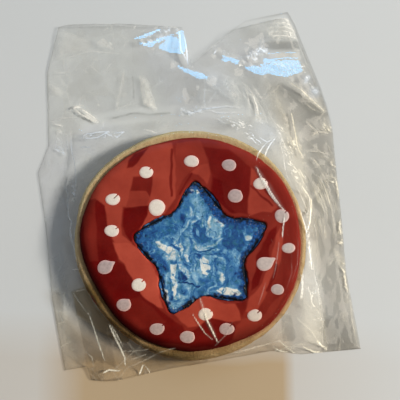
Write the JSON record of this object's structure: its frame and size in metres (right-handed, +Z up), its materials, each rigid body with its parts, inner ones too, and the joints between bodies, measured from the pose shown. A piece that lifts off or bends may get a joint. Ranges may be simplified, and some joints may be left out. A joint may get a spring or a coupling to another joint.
{
  "type": "iced sugar cookie in clear treat bag",
  "caption": "Round sugar cookie flooded with red icing, with a marbled blue star and white dots, lying in a crinkled clear bag whose mouth is open.",
  "frame": {"origin": "on the surface the bag lies on, under the middle of the cookie", "axes": "+Z up out of the iced face, +Y towards the open mouth of the bag, +X to the right when the star is seen upright"},
  "size_m": [0.114, 0.1346, 0.011],
  "materials": {
    "film": "thin clear glossy crinkled film",
    "dough": "dry, crumbly, pale baked dough",
    "red_icing": "smooth set icing with a soft gloss",
    "star_icing": "marbled blue and white set icing",
    "white_icing": "smooth set icing with a soft gloss"
  },
  "bodies": {
    "root": {"bag": "film", "cookie_base": "dough", "red_icing": "red_icing", "star_icing": "star_icing", "dot_01": "white_icing", "dot_02": "white_icing", "dot_03": "white_icing", "dot_04": "white_icing", "dot_05": "white_icing", "dot_06": "white_icing", "dot_07": "white_icing", "dot_08": "white_icing", "dot_09": "white_icing", "dot_10": "white_icing", "dot_11": "white_icing", "dot_12": "white_icing", "dot_13": "white_icing", "dot_14": "white_icing", "dot_15": "white_icing", "dot_16": "white_icing", "dot_17": "white_icing", "dot_18": "white_icing", "dot_19": "white_icing", "dot_20": "white_icing"}
  },
  "joints": []
}
